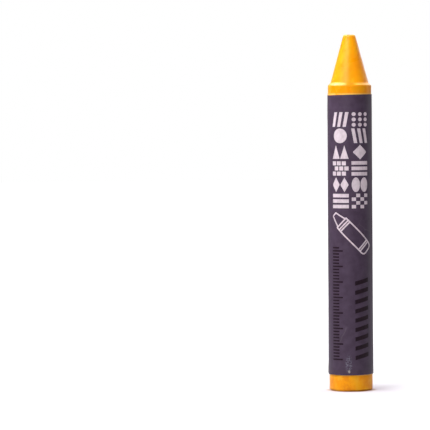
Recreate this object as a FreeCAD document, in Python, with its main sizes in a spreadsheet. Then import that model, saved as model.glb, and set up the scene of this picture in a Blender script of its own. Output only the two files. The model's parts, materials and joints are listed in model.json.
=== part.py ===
"""A paper-wrapped wax marking crayon, as a parametric FreeCAD document.

It comes apart on a bench into three pieces: the cast wax stick, the paper wrapper that is rolled once
round its barrel and laps over itself at the back, and the paste film that holds the wrapper to the wax
and to itself. Nothing on it moves.

Millimetres. +Z runs from the butt to the tip, the origin is the middle of the butt face, and the front
of the wrapper faces -Y.
"""

import FreeCAD, Part

import math
import os

import Sketcher

# ---------------------------------------------------------------- driving sizes: value, what it is
SIZES = {
    # the wax stick
    "stick_length": (115.0, "butt face to tip face"),
    "barrel_diameter": (14.0, "bare wax"),
    "tip_diameter": (3.8, "flat end of the cone"),
    "cone_length": (15.55, "shoulder to tip face"),
    "shoulder_step": (0.85, "how far the foot of the cone stands in from the barrel"),
    "shoulder_height": (0.8, "height of the bevel between the barrel and the cone"),
    "collar_length": (3.05, "bare barrel between the wrapper and the shoulder"),
    "butt_length": (5.35, "bare barrel between the butt face and the wrapper"),
    "tip_round": (0.35, "radius of the tip's rim"),
    "shoulder_round": (0.3, "radius of the shoulder's outer edge"),
    "butt_round": (0.7, "radius of the butt's rim"),
    "dimple_diameter": (8.0, "shrinkage hollow in the butt face"),
    "dimple_depth": (0.5, "depth of that hollow at its middle"),
    # the wrapper
    "paper_thickness": (0.10, "one layer of paper"),
    "paste_thickness": (0.07, "dried paste between the wax and the paper"),
    "lap_paste_thickness": (0.03, "dried paste between the two layers of the lap"),
    "paste_setback": (0.5, "how far the paste stops short of the paper's edges"),
    "lap_width": (6.0, "how far the paper laps over its own first edge"),
    "ramp_width": (1.5, "where the paper climbs onto that first edge"),
    "seam_bearing": (117.0, "degrees from +X towards +Y to the paper's first edge"),
}
PARTS_FOLDER = "parts"
SAME_MM = 1e-6

doc = FreeCAD.newDocument("marking_crayon")


# ---------------------------------------------------------------- the sheet and small helpers
def make_sheet():
    """The spreadsheet that every feature below reads, one driving size to a row."""
    sheet = doc.addObject("Spreadsheet::Sheet", "Sizes")
    for row, (alias, (value, meaning)) in enumerate(SIZES.items(), start=1):
        sheet.set(f"A{row}", meaning)
        sheet.set(f"B{row}", str(value))
        sheet.setAlias(f"B{row}", alias)
    doc.recompute()
    return sheet


def size(alias):
    """A driving size as a number, for the first rough position of sketch geometry."""
    return float(doc.Sizes.get(alias))


def new_body(label):
    body = doc.addObject("PartDesign::Body", label)
    body.Label = label
    return body


def new_sketch(body, plane_role, name, height=None):
    """A sketch on one of the body's own origin planes, raised along its normal by an expression."""
    plane = next(f for f in body.Origin.OriginFeatures if f.Role == plane_role)
    sketch = body.newObject("Sketcher::SketchObject", name)
    sketch.AttachmentSupport = [(plane, "")]
    sketch.MapMode = "FlatFace"
    if height:
        sketch.setExpression("AttachmentOffset.Base.z", height)
    return sketch


def bind(sketch, name, expression, *constraint):
    """Adds a dimension to the sketch and ties it to the sheet."""
    index = sketch.addConstraint(Sketcher.Constraint(*constraint))
    sketch.renameConstraint(index, name)
    sketch.setExpression(f"Constraints.{name}", expression)


def polar(radius, bearing):
    """The point of the XY plane at a radius and a bearing in degrees."""
    turn = math.radians(bearing)
    return FreeCAD.Vector(radius * math.cos(turn), radius * math.sin(turn), 0)


def circle_edge(shape, radius, z):
    """The name of the round edge about Z with that radius at that height."""
    for number, edge in enumerate(shape.Edges, start=1):
        if edge.Degenerated or not isinstance(edge.Curve, Part.Circle):
            continue
        middle = edge.Curve.Center
        if abs(middle.z - z) < SAME_MM and abs(edge.Curve.Radius - radius) < SAME_MM:
            return f"Edge{number}"
    raise ValueError(f"no round edge of radius {radius} at height {z}")


def round_edge(body, name, radius, z, rounding):
    """Rounds one circular edge of the body as it stands."""
    doc.recompute()
    base = body.Tip
    fillet = body.newObject("PartDesign::Fillet", name)
    fillet.Base = (base, [circle_edge(base.Shape, radius, z)])
    fillet.setExpression("Radius", rounding)


# ---------------------------------------------------------------- expressions used more than once
BARREL_R = "Sizes.barrel_diameter / 2"
INNER_R = f"{BARREL_R} + Sizes.paste_thickness"
OUTER_R = f"{INNER_R} + Sizes.paper_thickness"
LAP_INNER_R = f"{OUTER_R} + Sizes.lap_paste_thickness"
LAP_OUTER_R = f"{LAP_INNER_R} + Sizes.paper_thickness"
WRAPPER_LENGTH = (
    "Sizes.stick_length - Sizes.cone_length - Sizes.shoulder_height"
    " - Sizes.collar_length - Sizes.butt_length"
)
START_BEARING = "Sizes.seam_bearing * 1 deg"
RAMP_BEARING = f"(Sizes.seam_bearing - Sizes.ramp_width / ({OUTER_R}) * 180 / pi) * 1 deg"
LAP_BEARING = f"(Sizes.seam_bearing + Sizes.lap_width / ({OUTER_R}) * 180 / pi) * 1 deg"
PASTE_BEARING = (
    f"(Sizes.seam_bearing + (Sizes.lap_width - Sizes.paste_setback) / ({OUTER_R}) * 180 / pi) * 1 deg"
)


# ---------------------------------------------------------------- the wax stick
def make_wax_stick():
    """Cast in one piece: a flat-ended cone on a narrow shoulder, a round barrel, and a flat butt whose
    middle sank a little as the wax cooled."""
    body = new_body("wax_stick")
    length = size("stick_length")
    barrel_radius = size("barrel_diameter") / 2
    tip_radius = size("tip_diameter") / 2
    cone_foot = length - size("cone_length")
    barrel_top = cone_foot - size("shoulder_height")

    profile = new_sketch(body, "XZ_Plane", "stick_profile")
    corners = [
        FreeCAD.Vector(0, 0, 0),
        FreeCAD.Vector(barrel_radius, 0, 0),
        FreeCAD.Vector(barrel_radius, barrel_top, 0),
        FreeCAD.Vector(barrel_radius - size("shoulder_step"), cone_foot, 0),
        FreeCAD.Vector(tip_radius, length, 0),
        FreeCAD.Vector(0, length, 0),
    ]
    butt, barrel, shoulder, cone, tip, axis = (
        profile.addGeometry(Part.LineSegment(a, b), False)
        for a, b in zip(corners, corners[1:] + corners[:1])
    )
    for line, following in ((butt, barrel), (barrel, shoulder), (shoulder, cone), (cone, tip), (tip, axis)):
        profile.addConstraint(Sketcher.Constraint("Coincident", line, 2, following, 1))
    profile.addConstraint(Sketcher.Constraint("Coincident", axis, 2, butt, 1))
    profile.addConstraint(Sketcher.Constraint("Coincident", butt, 1, -1, 1))
    for line in (butt, tip):
        profile.addConstraint(Sketcher.Constraint("Horizontal", line))
    for line in (barrel, axis):
        profile.addConstraint(Sketcher.Constraint("Vertical", line))
    bind(profile, "barrel_radius", BARREL_R, "DistanceX", butt, 1, butt, 2, barrel_radius)
    bind(profile, "overall", "Sizes.stick_length", "DistanceY", axis, 2, axis, 1, length)
    bind(profile, "cone_rise", "Sizes.cone_length", "DistanceY", cone, 1, cone, 2, size("cone_length"))
    bind(profile, "bevel_rise", "Sizes.shoulder_height", "DistanceY", shoulder, 1, shoulder, 2,
         size("shoulder_height"))
    bind(profile, "bevel_run", "Sizes.shoulder_step", "DistanceX", shoulder, 2, shoulder, 1,
         size("shoulder_step"))
    bind(profile, "tip_radius", "Sizes.tip_diameter / 2", "DistanceX", tip, 2, tip, 1, tip_radius)

    stick = body.newObject("PartDesign::Revolution", "stick")
    stick.Profile = profile
    stick.ReferenceAxis = (profile, ["V_Axis"])
    stick.Angle = 360
    make_dimple(body)
    round_edge(body, "rounded_butt", barrel_radius, 0, "Sizes.butt_round")
    round_edge(body, "rounded_shoulder", barrel_radius, barrel_top, "Sizes.shoulder_round")
    round_edge(body, "rounded_tip", tip_radius, length, "Sizes.tip_round")
    return body


def make_dimple(body):
    """The shallow spherical hollow that the cooling wax leaves in the butt face."""
    doc.recompute()
    solid_before = body.Shape.Volume
    radius = size("dimple_diameter") / 2
    depth = size("dimple_depth")
    sphere_radius = (radius**2 + depth**2) / (2 * depth)
    profile = new_sketch(body, "XZ_Plane", "dimple_profile")
    middle = FreeCAD.Vector(0, depth - sphere_radius, 0)
    rim_turn = math.asin((sphere_radius - depth) / sphere_radius)
    sphere = Part.Circle(middle, FreeCAD.Vector(0, 0, 1), sphere_radius)
    roof = profile.addGeometry(Part.ArcOfCircle(sphere, rim_turn, math.pi / 2), False)
    axis = profile.addGeometry(
        Part.LineSegment(FreeCAD.Vector(0, depth, 0), FreeCAD.Vector(0, 0, 0)), False
    )
    floor = profile.addGeometry(
        Part.LineSegment(FreeCAD.Vector(0, 0, 0), FreeCAD.Vector(radius, 0, 0)), False
    )
    for first, first_end, second, second_end in (
        (roof, 2, axis, 1),
        (axis, 2, floor, 1),
        (floor, 2, roof, 1),
        (floor, 1, -1, 1),
    ):
        profile.addConstraint(
            Sketcher.Constraint("Coincident", first, first_end, second, second_end)
        )
    profile.addConstraint(Sketcher.Constraint("Vertical", axis))
    profile.addConstraint(Sketcher.Constraint("Horizontal", floor))
    profile.addConstraint(Sketcher.Constraint("PointOnObject", roof, 3, -2))
    bind(profile, "dimple_radius", "Sizes.dimple_diameter / 2", "DistanceX", floor, 1, floor, 2, radius)
    bind(profile, "dimple_rise", "Sizes.dimple_depth", "DistanceY", axis, 2, axis, 1, depth)

    hollow = body.newObject("PartDesign::Groove", "shrinkage_dimple")
    hollow.Profile = profile
    hollow.ReferenceAxis = (profile, ["V_Axis"])
    hollow.Angle = 360
    doc.recompute()
    if body.Shape.Volume >= solid_before:
        raise ValueError("the shrinkage dimple cut nothing")


# ---------------------------------------------------------------- the rolled wrapper and its paste
def add_ray(sketch, name, bearing, bearing_now):
    """A construction line out of the origin, at a bearing tied to the sheet."""
    reach = size("barrel_diameter")
    line = sketch.addGeometry(
        Part.LineSegment(FreeCAD.Vector(0, 0, 0), polar(reach, bearing_now)), True
    )
    sketch.addConstraint(Sketcher.Constraint("Coincident", line, 1, -1, 1))
    bind(sketch, f"{name}_bearing", bearing, "Angle", -1, 1, line, 1, math.radians(bearing_now))
    bind(sketch, f"{name}_reach", "Sizes.barrel_diameter", "Distance", line, reach)
    return line


def add_arc(sketch, name, radius, radius_now, start, end):
    """An arc about the origin, anticlockwise from one ray to another. start and end are (ray, bearing)."""
    (start_ray, start_now), (end_ray, end_now) = start, end
    if end_now < start_now:
        end_now += 360
    circle = Part.Circle(FreeCAD.Vector(0, 0, 0), FreeCAD.Vector(0, 0, 1), radius_now)
    arc = sketch.addGeometry(
        Part.ArcOfCircle(circle, math.radians(start_now), math.radians(end_now)), False
    )
    sketch.addConstraint(Sketcher.Constraint("Coincident", arc, 3, -1, 1))
    sketch.addConstraint(Sketcher.Constraint("PointOnObject", arc, 1, start_ray))
    sketch.addConstraint(Sketcher.Constraint("PointOnObject", arc, 2, end_ray))
    bind(sketch, name, radius, "Radius", arc, radius_now)
    return arc


def join(sketch, first, first_end, second, second_end):
    """A straight edge between the ends of two arcs (1 is an arc's start, 2 its end)."""
    line = sketch.addGeometry(
        Part.LineSegment(sketch.getPoint(first, first_end), sketch.getPoint(second, second_end)), False
    )
    sketch.addConstraint(Sketcher.Constraint("Coincident", line, 1, first, first_end))
    sketch.addConstraint(Sketcher.Constraint("Coincident", line, 2, second, second_end))


def roll_now():
    """The roll's radii and bearings as numbers: wax, inner, outer, lap inner, lap outer; start, ramp, lap."""
    wax = size("barrel_diameter") / 2
    inner = wax + size("paste_thickness")
    outer = inner + size("paper_thickness")
    lap_inner = outer + size("lap_paste_thickness")
    lap_outer = lap_inner + size("paper_thickness")
    start = size("seam_bearing")
    ramp = start - math.degrees(size("ramp_width") / outer)
    lap = start + math.degrees(size("lap_width") / outer)
    return wax, inner, outer, lap_inner, lap_outer, start, ramp, lap


def pad(body, sketch, name, length):
    feature = body.newObject("PartDesign::Pad", name)
    feature.Profile = sketch
    feature.setExpression("Length", length)
    return feature


def make_paper_wrapper():
    """One sheet rolled anticlockwise round the barrel. It climbs a short ramp onto its own first edge
    and laps over it."""
    body = new_body("paper_wrapper")
    _, inner, outer, lap_inner, lap_outer, start_now, ramp_now, lap_now = roll_now()
    sketch = new_sketch(body, "XY_Plane", "rolled_sheet", "Sizes.butt_length")
    start = (add_ray(sketch, "start", START_BEARING, start_now), start_now)
    ramp = (add_ray(sketch, "ramp", RAMP_BEARING, ramp_now), ramp_now)
    lap = (add_ray(sketch, "lap", LAP_BEARING, lap_now), lap_now)

    turn_inner = add_arc(sketch, "turn_inner", INNER_R, inner, start, ramp)
    turn_outer = add_arc(sketch, "turn_outer", OUTER_R, outer, start, ramp)
    lap_under = add_arc(sketch, "lap_under", LAP_INNER_R, lap_inner, start, lap)
    lap_over = add_arc(sketch, "lap_over", LAP_OUTER_R, lap_outer, start, lap)
    join(sketch, turn_inner, 1, turn_outer, 1)
    join(sketch, turn_outer, 2, lap_over, 1)
    join(sketch, lap_over, 2, lap_under, 2)
    join(sketch, lap_under, 1, turn_inner, 2)
    pad(body, sketch, "wrapper", WRAPPER_LENGTH)
    return body


def make_wrapper_paste():
    """The dried paste: a film all round the wax, a wedge that fills the ramp, and a film in the lap. It
    stops short of the paper's free edges."""
    body = new_body("wrapper_paste")
    wax, inner, outer, lap_inner, _, start_now, ramp_now, lap_now = roll_now()
    paste_now = lap_now - math.degrees(size("paste_setback") / outer)
    sketch = new_sketch(
        body, "XY_Plane", "paste_film", "Sizes.butt_length + Sizes.paste_setback"
    )
    start = (add_ray(sketch, "start", START_BEARING, start_now), start_now)
    ramp = (add_ray(sketch, "ramp", RAMP_BEARING, ramp_now), ramp_now)
    end = (add_ray(sketch, "paste", PASTE_BEARING, paste_now), paste_now)

    film = add_arc(sketch, "film", INNER_R, inner, start, ramp)
    lap_top = add_arc(sketch, "lap_top", LAP_INNER_R, lap_inner, start, end)
    lap_bottom = add_arc(sketch, "lap_bottom", OUTER_R, outer, start, end)
    join(sketch, film, 2, lap_top, 1)
    join(sketch, lap_top, 2, lap_bottom, 2)
    join(sketch, lap_bottom, 1, film, 1)
    bore = sketch.addGeometry(
        Part.Circle(FreeCAD.Vector(0, 0, 0), FreeCAD.Vector(0, 0, 1), wax), False
    )
    sketch.addConstraint(Sketcher.Constraint("Coincident", bore, 3, -1, 1))
    bind(sketch, "wax_radius", BARREL_R, "Radius", bore, wax)
    pad(body, sketch, "film_pad", f"{WRAPPER_LENGTH} - 2 * Sizes.paste_setback")
    return body


# ---------------------------------------------------------------- build, check, write
def check(bodies):
    """Stops the build if an object failed or a sub-part isn't one valid solid."""
    for thing in doc.Objects:
        if "Invalid" in thing.State or "Error" in thing.State:
            raise RuntimeError(f"{thing.Name} failed: {thing.State}")
    for body in bodies:
        shape = body.Shape
        if shape.isNull() or not shape.isValid() or len(shape.Solids) != 1:
            raise RuntimeError(f"{body.Label} is not one valid solid")
        print(f"{body.Label}: {shape.Volume:.2f} mm3")


def main():
    make_sheet()
    bodies = [make_wax_stick(), make_paper_wrapper(), make_wrapper_paste()]
    doc.recompute()
    check(bodies)
    os.makedirs(PARTS_FOLDER, exist_ok=True)
    for body in bodies:
        body.Shape.exportStep(os.path.join(PARTS_FOLDER, body.Label + ".step"))


main()
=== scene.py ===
"""The looks of a wax marking crayon in its printed paper wrapper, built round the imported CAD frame.

The wax stick, the rolled wrapper and the print on it are Geometry Nodes trees built here, each turned into
a plain mesh. The paste stays the CAD's own. Metres, +Z from the butt to the tip, the front faces -Y.
"""

import json
import math

import bmesh
import bpy
from mathutils import Matrix, Vector

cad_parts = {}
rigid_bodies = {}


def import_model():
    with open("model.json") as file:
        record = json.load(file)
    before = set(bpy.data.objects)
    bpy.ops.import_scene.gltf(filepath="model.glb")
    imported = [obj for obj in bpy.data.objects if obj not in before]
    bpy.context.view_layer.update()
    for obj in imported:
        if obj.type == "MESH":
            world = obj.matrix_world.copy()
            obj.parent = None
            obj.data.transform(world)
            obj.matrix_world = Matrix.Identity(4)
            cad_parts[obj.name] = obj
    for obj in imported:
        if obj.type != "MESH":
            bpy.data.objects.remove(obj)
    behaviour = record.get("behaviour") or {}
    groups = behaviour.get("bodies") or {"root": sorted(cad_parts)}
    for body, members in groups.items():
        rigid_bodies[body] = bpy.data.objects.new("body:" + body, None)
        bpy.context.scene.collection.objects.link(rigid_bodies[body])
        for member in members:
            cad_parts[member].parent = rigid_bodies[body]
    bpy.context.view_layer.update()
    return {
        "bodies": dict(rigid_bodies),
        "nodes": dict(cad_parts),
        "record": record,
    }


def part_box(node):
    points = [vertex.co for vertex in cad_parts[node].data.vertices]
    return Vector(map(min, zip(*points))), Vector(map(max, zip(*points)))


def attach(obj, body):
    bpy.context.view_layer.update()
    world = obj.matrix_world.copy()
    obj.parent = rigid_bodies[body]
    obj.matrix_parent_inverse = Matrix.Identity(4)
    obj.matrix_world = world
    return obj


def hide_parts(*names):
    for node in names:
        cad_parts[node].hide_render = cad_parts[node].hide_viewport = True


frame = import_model()

MM = 0.001

# ---------------------------------------------------------------- places and sizes from the frame
STICK_LOW, STICK_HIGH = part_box("wax_stick")
WRAP_LOW, WRAP_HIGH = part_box("paper_wrapper")
MOUNTS = {mount["name"]: mount for mount in frame["record"]["mounts"]}
BODY = next(iter(frame["bodies"]))

STICK_LENGTH = STICK_HIGH.z - STICK_LOW.z
WAX_R = 7.0 * MM
WRAP_R = MOUNTS["wrapped_barrel"]["dims"]["r_mm"] * MM
WRAP_BOTTOM, WRAP_TOP = WRAP_LOW.z, WRAP_HIGH.z

# the wax stick
TIP_R = 1.9 * MM
CONE_LENGTH = 15.55 * MM
SHOULDER_STEP = 0.85 * MM
SHOULDER_HEIGHT = 0.8 * MM
TIP_ROUND = 0.55 * MM
FOOT_ROUND = 0.5 * MM
SHOULDER_ROUND = 0.35 * MM
BUTT_ROUND = 0.75 * MM
DIMPLE_R = 4.0 * MM
DIMPLE_DEPTH = 0.5 * MM

# the rolled sheet. A place on the flat sheet is (along, up, out): the way round the barrel from the middle
# of the front, the height above the butt face, and the height above the sheet's inner face
PAPER = 0.10 * MM
LAP_RISE = 0.13 * MM
LAP_WIDTH = 6.0 * MM
RAMP_WIDTH = 1.5 * MM
INK = 0.015 * MM
SEAM_BEARING, FRONT_BEARING = 117, 270
SHEET_START = math.radians(SEAM_BEARING - FRONT_BEARING) * WRAP_R
LAP_START = SHEET_START + 2 * math.pi * WRAP_R
LAP_END = LAP_START + LAP_WIDTH
CRUMPLED_AT = (-1.0 * MM, 9.0 * MM, 0.0)
NICK_AT = (-0.95 * MM, 6.45 * MM, 0.0)
MERGE = 1e-6

# how finely the stick is turned: the ends of its stretches, as distances along its half section from the
# middle of the tip and then from the middle of the butt, and the spacing in each stretch
SHOULDER_Z = STICK_LENGTH - CONE_LENGTH - SHOULDER_HEIGHT
FROM_TIP = [near * MM for near in (0.0, 1.3, 2.9, 17.6, 20.6, 23.8)]
FROM_BUTT = [near * MM for near in (13.0, 8.4, 5.4, 0.0)]
SPACING = [step * MM for step in (0.20, 0.08, 0.25, 0.08, 0.20, 2.50, 0.20, 0.08, 0.25)]

# the print, on the flat sheet
TILE_SIDES = (-3.67 * MM, 3.03 * MM)
TILE_WIDTH, TILE_HEIGHT, TILE_PITCH = 5.8 * MM, 4.7 * MM, 5.24 * MM
TILES_TOP = 90.0 * MM
ICON_TIP = (-5.9 * MM, 57.1 * MM)
ICON_BUTT = (5.7 * MM, 45.5 * MM)
ICON_HALF = 2.2 * MM
DARK_UP = (10.4 * MM, 47.0 * MM)
RULER_LEFT, RULER_LONG, RULER_SHORT, RULER_STROKE = -6.75 * MM, 3.9 * MM, 2.6 * MM, 0.5 * MM
TICKS_TO_LONG = 5
BARS_ALONG, BARS_UP, BARS_PITCH = 3.55 * MM, 13.1 * MM, 3.0 * MM

# colours
WAX_DEEP = (0.89, 0.295, 0.0, 1)
WAX_LIGHT = (0.94, 0.375, 0.001, 1)
WAX_BLOOM = (0.95, 0.50, 0.03, 1)
# dark brown for dirt flecks and for the painted contact shade at the stick's foot
WAX_GRIME_AND_SHADE = (0.32, 0.10, 0.005, 1)
# darker wax for the marbled patches, also used as painted shade in the middle of the shoulder's bevel
WAX_MARBLE_AND_SHADE = (0.80, 0.235, 0.0, 1)
# pale cream for rubbed wax at the tip and beside the paper, also the painted highlight on the shoulder's
# bevel
WAX_RUBBED_AND_HIGHLIGHT = (0.98, 0.70, 0.24, 1)
PAPER_DARK = (0.051, 0.030, 0.056, 1)
PAPER_LIGHT = (0.068, 0.042, 0.075, 1)
PAPER_CREASED = (0.17, 0.16, 0.21, 1)
PAPER_STOCK = (0.50, 0.45, 0.40, 1)
WHITE_FULL = (0.67, 0.565, 0.62, 1)
WHITE_THIN = (0.56, 0.465, 0.515, 1)
DARK_FULL = (0.012, 0.003, 0.009, 1)
DARK_THIN = (0.018, 0.007, 0.013, 1)
PASTE_CLEAR = (0.62, 0.52, 0.33, 1)
PASTE_DULL = (0.72, 0.66, 0.52, 1)
BOARD_DARK = (0.44, 0.44, 0.455, 1)
BOARD_LIGHT = (0.46, 0.46, 0.475, 1)
# the board's glow as painted shadow: brown where the crayon touches, lilac close round it
GLOW_CONTACT_SHADOW = (0.16, 0.06, 0.02, 1)
GLOW_SHADOW_CLOSE = (0.31, 0.265, 0.315, 1)
GLOW_NEAR = (0.46, 0.43, 0.46, 1)
GLOW_PLAIN = (0.55, 0.55, 0.55, 1)
GLOW_FAR = (1.0, 1.0, 1.0, 1)

# camera and light
CAMERA_AT = (-0.04378, -0.854, 0.0873)
CAMERA_LENS = 220.9
CAMERA_PITCH = math.radians(2.029)
CAMERA_ROLL = math.radians(-0.415)
SENSOR_WIDTH = 36.0
SEE_TO = 20.0
AIR_LIGHT, AIR_BACK, AIR_UP = 0.26, 0.12, 0.04
BOARD_RINGS = (0.05, 0.15, 0.4, 1.0, 3.0)
BOARD_SIDES = 96
LAMPS = (
    {"name": "key", "azimuth": -50, "elevation": 60, "distance": 0.32, "size": 0.18, "power": 0.64},
    {"name": "key_far", "azimuth": -50, "elevation": 60, "distance": 0.45, "size": 0.25, "power": 0.66},
    {"name": "left", "azimuth": -60, "elevation": 48, "distance": 0.32, "size": 0.20, "power": 0.22},
    {"name": "low", "azimuth": -26, "elevation": 28, "distance": 0.45, "size": 0.22, "tall": 0.14,
     "power": 0.62},
    {"name": "back_left", "azimuth": -119, "elevation": 49, "distance": 0.4, "size": 0.16, "power": 0.72},
    {"name": "back_right", "azimuth": 100, "elevation": 60, "distance": 0.4, "size": 0.14, "power": 0.22},
    {"name": "edge", "azimuth": 110, "elevation": 5, "distance": 0.6, "size": 0.06, "tall": 0.5,
     "power": 0.25},
    {"name": "behind", "azimuth": 150, "elevation": 30, "distance": 0.6, "size": 0.40, "power": 1.20},
)


# ---------------------------------------------------------------- writing node trees
class Tree:
    """A node tree while it is being written. add() makes a node, sets its values and links its sockets."""

    def __init__(self, tree):
        self.tree = tree

    def add(self, kind, values=None, **settings):
        node = self.tree.nodes.new(kind)
        for name, value in settings.items():
            setattr(node, name, value)
        for socket, value in (values or {}).items():
            self.feed(node.inputs[socket], value)
        return node

    def feed(self, socket, value):
        if isinstance(value, bpy.types.NodeSocket):
            self.tree.links.new(value, socket)
        else:
            socket.default_value = value

    def calc(self, operation, *values):
        return self.add("ShaderNodeMath", dict(enumerate(values)), operation=operation).outputs[0]

    def plus(self, a, b):
        return self.calc("ADD", a, b)

    def minus(self, a, b):
        return self.calc("SUBTRACT", a, b)

    def times(self, a, b):
        return self.calc("MULTIPLY", a, b)

    def vector(self, operation, *values):
        node = self.add("ShaderNodeVectorMath", dict(enumerate(values)), operation=operation)
        return node.outputs["Value" if operation == "LENGTH" else "Vector"]

    def scaled(self, vector, factor):
        node = self.add("ShaderNodeVectorMath", {"Vector": vector, "Scale": factor}, operation="SCALE")
        return node.outputs[0]

    def centred(self, noise, size):
        """Noise about 0 instead of 0.5, that many metres from end to end."""
        return self.times(self.minus(noise, 0.5), size)

    def split(self, vector):
        return self.add("ShaderNodeSeparateXYZ", {0: vector}).outputs

    def join(self, x, y, z):
        return self.add("ShaderNodeCombineXYZ", {0: x, 1: y, 2: z}).outputs[0]

    def ramp(self, value, low, high, to_low=0.0, to_high=1.0, smooth=True):
        """value from low..high to to_low..to_high, held outside."""
        node = self.add(
            "ShaderNodeMapRange",
            {"Value": value, "From Min": low, "From Max": high, "To Min": to_low, "To Max": to_high},
            interpolation_type="SMOOTHSTEP" if smooth else "LINEAR",
        )
        return node.outputs["Result"]

    def noise(self, place, scale, detail=3.0, roughness=0.5, seed=0.0):
        """Noise from 0 to 1 about 0.5, four-dimensional so that the seed picks another pattern."""
        return self.add(
            "ShaderNodeTexNoise",
            {"Vector": place, "W": seed, "Scale": scale, "Detail": detail, "Roughness": roughness},
            noise_dimensions="4D",
        ).outputs[0]

    def cells(self, place, scale, feature="F1", seed=0.0, **settings):
        return self.add(
            "ShaderNodeTexVoronoi",
            {"Vector": place, "W": seed, "Scale": scale},
            voronoi_dimensions="4D",
            feature=feature,
            **settings,
        ).outputs

    def mix(self, share, a, b):
        """a where share is 0, b where it is 1, for colours."""
        node = self.add("ShaderNodeMix", data_type="RGBA")
        for socket, value in zip((node.inputs[0], node.inputs[6], node.inputs[7]), (share, a, b)):
            self.feed(socket, value)
        return node.outputs[2]

    def group(self, tree, values=None):
        kind = "GeometryNodeGroup" if tree.bl_idname == "GeometryNodeTree" else "ShaderNodeGroup"
        node = self.add(kind, node_tree=tree)
        for socket, value in (values or {}).items():
            self.feed(node.inputs[socket], value)
        return node.outputs

    def gather(self, *parts):
        """Several geometries as one."""
        node = self.add("GeometryNodeJoinGeometry")
        for part in reversed(parts):
            self.tree.links.new(part, node.inputs[0])
        return node.outputs[0]

    def store(self, geometry, name, value, data_type, domain):
        """The geometry with the value kept as a named attribute."""
        node = self.add(
            "GeometryNodeStoreNamedAttribute",
            {"Geometry": geometry, "Name": name},
            data_type=data_type,
            domain=domain,
        )
        self.feed(next(s for s in node.inputs if s.name == "Value" and s.enabled), value)
        return node.outputs[0]

    def shade(self, geometry, sharp=math.radians(40)):
        """The geometry shaded smooth, apart from edges sharper than that angle."""
        smooth = self.add("GeometryNodeSetShadeSmooth", {"Geometry": geometry}).outputs[0]
        angle = self.add("GeometryNodeInputMeshEdgeAngle").outputs["Unsigned Angle"]
        gentle = self.calc("LESS_THAN", angle, sharp)
        edges = self.add(
            "GeometryNodeSetShadeSmooth", {"Geometry": smooth, "Shade Smooth": gentle}, domain="EDGE"
        )
        return edges.outputs[0]


def new_group(name, kind, inputs, outputs):
    """An empty node group with those sockets: the tree, a Tree to write it with, its inputs and the
    sockets that its outputs are fed to."""
    tree = bpy.data.node_groups.new(name, kind)
    kinds = {
        "geometry": "NodeSocketGeometry",
        "float": "NodeSocketFloat",
        "int": "NodeSocketInt",
        "vector": "NodeSocketVector",
        "material": "NodeSocketMaterial",
    }
    for socket, what, *default in inputs:
        made = tree.interface.new_socket(name=socket, in_out="INPUT", socket_type=kinds[what])
        if default:
            made.default_value = default[0]
    for socket, what in outputs:
        tree.interface.new_socket(name=socket, in_out="OUTPUT", socket_type=kinds[what])
    writer = Tree(tree)
    given = writer.add("NodeGroupInput").outputs
    result = writer.add("NodeGroupOutput").inputs
    return tree, writer, given, result


# ---------------------------------------------------------------- geometry groups
def make_slab_group():
    """A flat grid becomes a closed slab: its underside at height Base, its top at Base + Thickness. The
    slab's sides get the attribute cut_face."""
    tree, t, given, result = new_group(
        "Slab",
        "GeometryNodeTree",
        [("Sheet", "geometry"), ("Base", "float", PAPER), ("Thickness", "float", INK)],
        [("Slab", "geometry")],
    )
    low = t.add(
        "GeometryNodeSetPosition", {"Geometry": given["Sheet"], "Offset": t.join(0.0, 0.0, given["Base"])}
    ).outputs[0]
    raised = t.add(
        "GeometryNodeExtrudeMesh",
        {"Mesh": low, "Offset": (0, 0, 1), "Offset Scale": given["Thickness"], "Individual": False},
    )
    sides = t.store(raised.outputs["Mesh"], "cut_face", raised.outputs["Side"], "FLOAT", "FACE")
    underside = t.add("GeometryNodeFlipFaces", {"Mesh": low}).outputs[0]
    closed = t.add(
        "GeometryNodeMergeByDistance", {"Geometry": t.gather(underside, sides), "Distance": MERGE}
    )
    t.feed(result["Slab"], closed.outputs[0])
    return tree


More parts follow.
